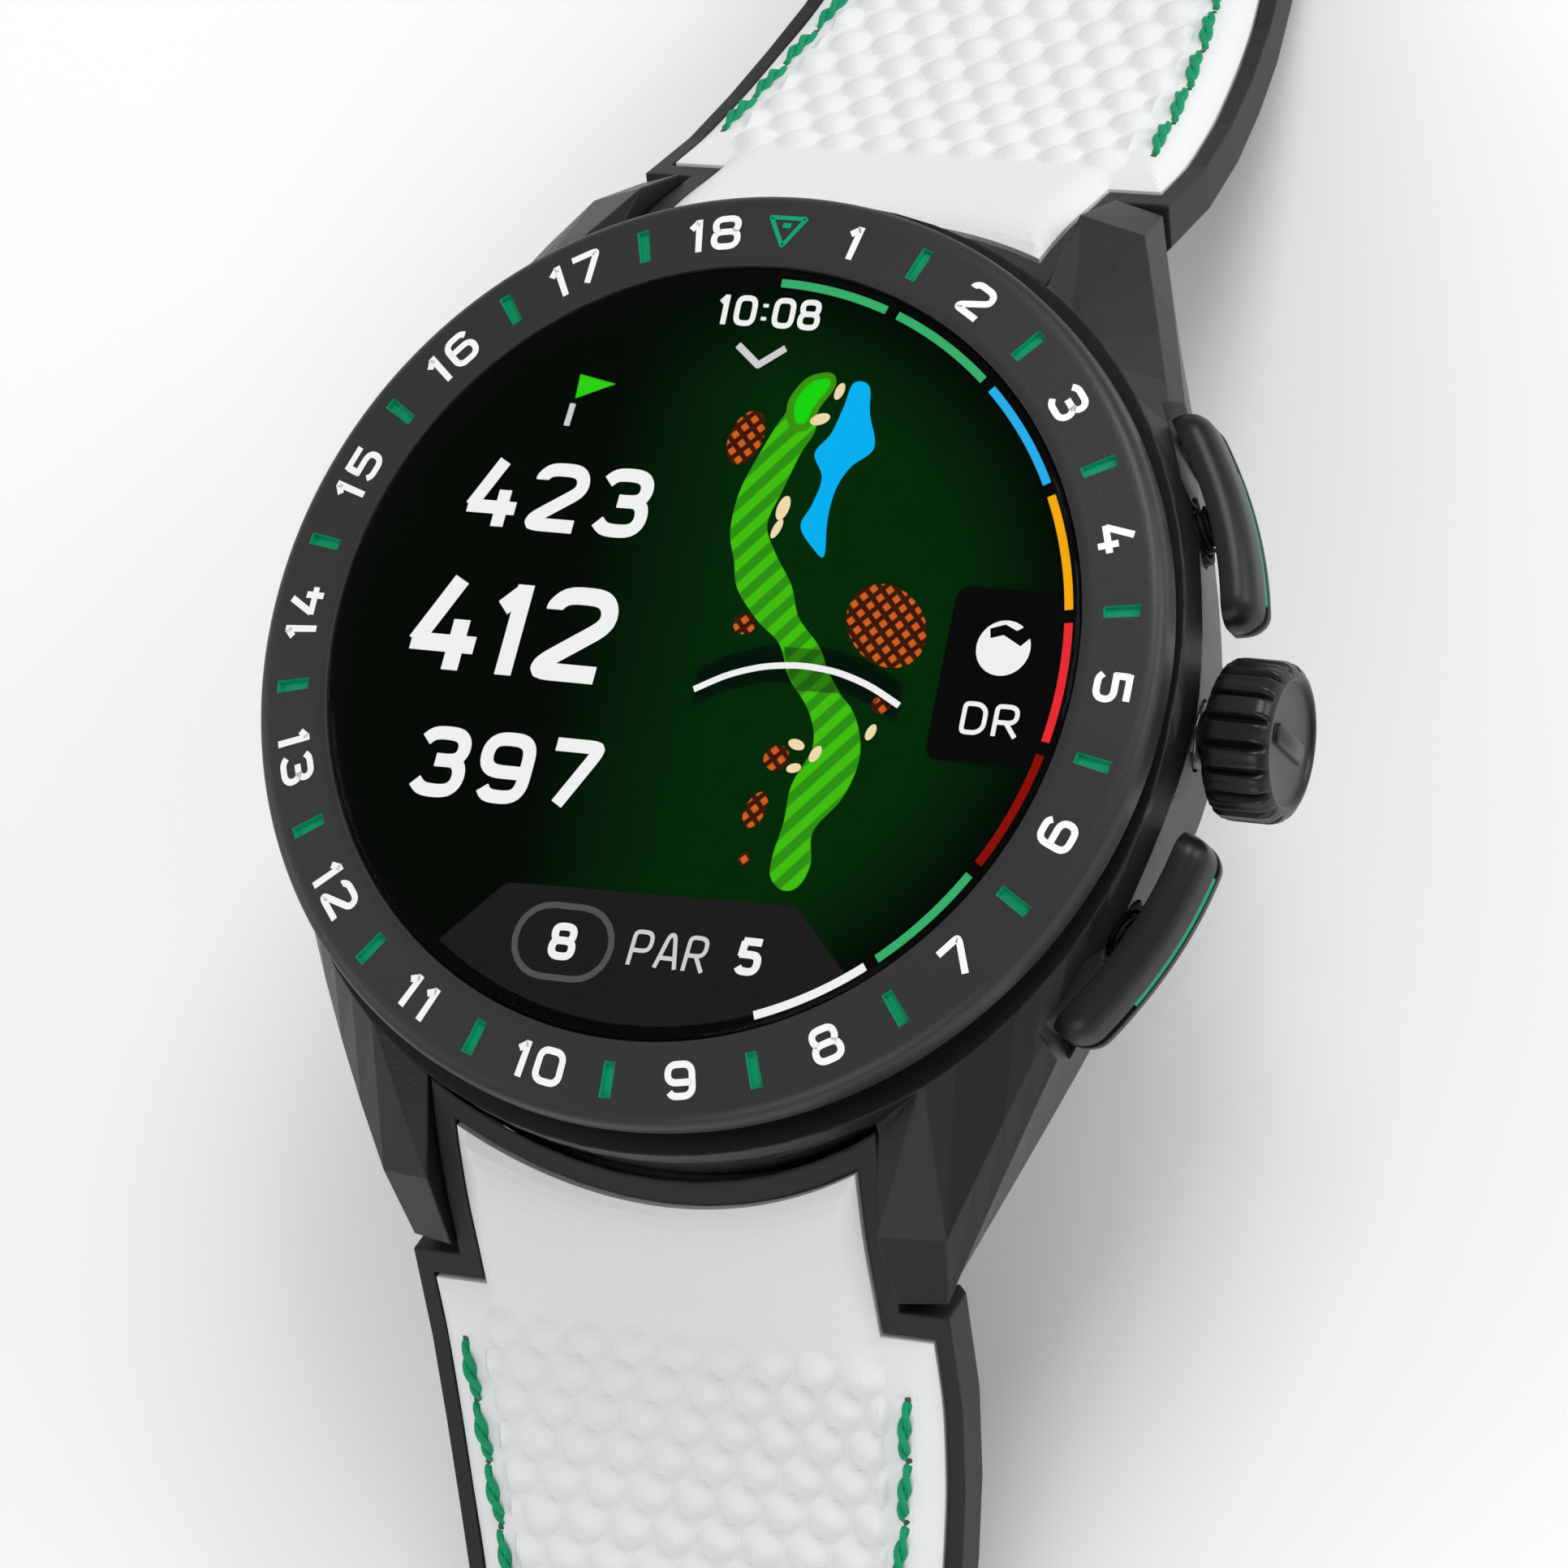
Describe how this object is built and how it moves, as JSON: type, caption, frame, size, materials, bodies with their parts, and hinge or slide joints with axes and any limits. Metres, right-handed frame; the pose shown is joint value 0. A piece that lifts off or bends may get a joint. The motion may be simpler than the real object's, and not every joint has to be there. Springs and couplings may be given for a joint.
{
  "type": "golf gps watch",
  "caption": "Round sports wristwatch with a numbered raised bezel, a flat glass over a colour display, fluted crown, two flank pushers, a two-layer strap and a folding clasp.",
  "frame": {"origin": "centre of the flat sensor window on the case back, which is the face that rests on the wrist", "axes": "+X from the case centre to the crown, +Y to the 12 o'clock mark, +Z out of the display"},
  "size_m": [0.0495, 0.1978, 0.0311],
  "materials": {
    "black_case": "satin black coating over a fine blasted surface",
    "grey_bezel": "matte dark grey coating",
    "glass": "clear, polished",
    "display": "dark glossy display layers",
    "dark_plastic": "fine matte",
    "green_plastic": "satin green",
    "board": "green solder mask",
    "silver_can": "drawn can, satin",
    "steel": "turned, bright",
    "black_steel": "satin black coating",
    "gloss_crown": "polished black coating",
    "seal": "smooth black",
    "gold_contact": "gold-plated, bright",
    "black_rubber": "matte black",
    "white_leather": "smooth white, with rows of small raised bumps"
  },
  "bodies": {
    "case": {"case_middle": "black_case", "bezel": "grey_bezel", "bezel_gasket": "seal", "crystal": "glass", "display_panel": "display", "display_frame": "dark_plastic", "chassis": "dark_plastic", "main_board": "board", "battery": "silver_can", "haptic_motor": "silver_can", "speaker": "dark_plastic", "sensor_module": "board", "case_back": "black_case", "case_back_gasket": "seal", "sensor_window": "glass", "charging_contact_1": "gold_contact", "charging_contact_2": "gold_contact", "case_back_screw_1": "steel", "case_back_screw_2": "steel", "case_back_screw_3": "steel", "case_back_screw_4": "steel", "crown_tube": "steel", "crown_o_ring": "seal", "upper_pusher_guide": "steel", "lower_pusher_guide": "steel"},
    "crown_carrier": {"crown_plunger": "dark_plastic", "crown_spring": "steel"},
    "crown": {"crown_head": "gloss_crown", "crown_stem": "steel"},
    "upper_pusher": {"upper_pusher_cap": "black_case", "upper_pusher_inlay": "green_plastic", "upper_pusher_stem": "steel", "upper_pusher_spring": "steel"},
    "lower_pusher": {"lower_pusher_cap": "black_case", "lower_pusher_inlay": "green_plastic", "lower_pusher_stem": "steel", "lower_pusher_spring": "steel"},
    "upper_strap": {"upper_strap_base": "black_rubber", "upper_strap_leather": "white_leather", "upper_spring_bar": "steel"},
    "upper_release": {"upper_release_pin": "steel"},
    "lower_strap": {"lower_strap_base": "black_rubber", "lower_strap_leather": "white_leather", "lower_spring_bar": "steel"},
    "lower_release": {"lower_release_pin": "steel"},
    "clasp_cover": {"clasp_cover": "black_steel", "clasp_strap_bar": "steel", "clasp_cover_pin": "steel"},
    "clasp_middle": {"clasp_middle_blade": "black_steel", "clasp_blade_pin": "steel"},
    "clasp_bottom": {"clasp_bottom_blade": "black_steel", "clasp_end_bar": "steel"},
    "clasp_button_left": {"clasp_button_left": "black_steel"},
    "clasp_button_right": {"clasp_button_right": "black_steel"}
  },
  "joints": [
    {"name": "crown_press", "type": "slide", "parent": "case", "child": "crown_carrier", "axis": [-1, 0, 0], "range_m": [0, 0.0005], "stiffness_N_per_m": 6000, "deforming": ["crown_spring"]},
    {"name": "crown_spin", "type": "hinge", "parent": "crown_carrier", "child": "crown", "pos_m": [0.0226, 0, 0.0063], "axis": [1, 0, 0], "continuous": true},
    {"name": "upper_pusher_press", "type": "slide", "parent": "case", "child": "upper_pusher", "axis": [-0.9063, -0.4226, 0], "range_m": [0, 0.0005], "stiffness_N_per_m": 6000, "deforming": ["upper_pusher_spring"]},
    {"name": "lower_pusher_press", "type": "slide", "parent": "case", "child": "lower_pusher", "axis": [-0.9063, 0.4226, 0], "range_m": [0, 0.0005], "stiffness_N_per_m": 6000, "deforming": ["lower_pusher_spring"]},
    {"name": "upper_strap_hinge", "type": "hinge", "parent": "case", "child": "upper_strap", "pos_m": [0, 0.0244, 0.00175], "axis": [-1, 0, 0], "range_deg": [0, 15]},
    {"name": "lower_strap_hinge", "type": "hinge", "parent": "case", "child": "lower_strap", "pos_m": [0, -0.0244, 0.00175], "axis": [1, 0, 0], "range_deg": [0, 15]},
    {"name": "upper_release_slide", "type": "slide", "parent": "upper_strap", "child": "upper_release", "axis": [-1, 0, 0], "range_m": [0, 0.0014], "stiffness_N_per_m": 400},
    {"name": "lower_release_slide", "type": "slide", "parent": "lower_strap", "child": "lower_release", "axis": [1, 0, 0], "range_m": [0, 0.0014], "stiffness_N_per_m": 400},
    {"name": "clasp_pivot", "type": "hinge", "parent": "upper_strap", "child": "clasp_cover", "pos_m": [0, 0.0799, -0.0165], "axis": [-1, 0, 0], "range_deg": [-10, 20]},
    {"name": "clasp_cover_hinge", "type": "hinge", "parent": "clasp_cover", "child": "clasp_middle", "pos_m": [0, 0.10825, -0.01436], "axis": [1, 0, 0], "range_deg": [0, 165]},
    {"name": "clasp_blade_hinge", "type": "hinge", "parent": "clasp_middle", "child": "clasp_bottom", "pos_m": [0, 0.08531, -0.01581], "axis": [-1, 0, 0], "range_deg": [0, 125]},
    {"name": "clasp_button_left_press", "type": "slide", "parent": "clasp_cover", "child": "clasp_button_left", "axis": [1, 0, 0], "range_m": [0, 0.0006], "stiffness_N_per_m": 1500},
    {"name": "clasp_button_right_press", "type": "slide", "parent": "clasp_cover", "child": "clasp_button_right", "axis": [-1, 0, 0], "range_m": [0, 0.0006], "stiffness_N_per_m": 1500}
  ]
}
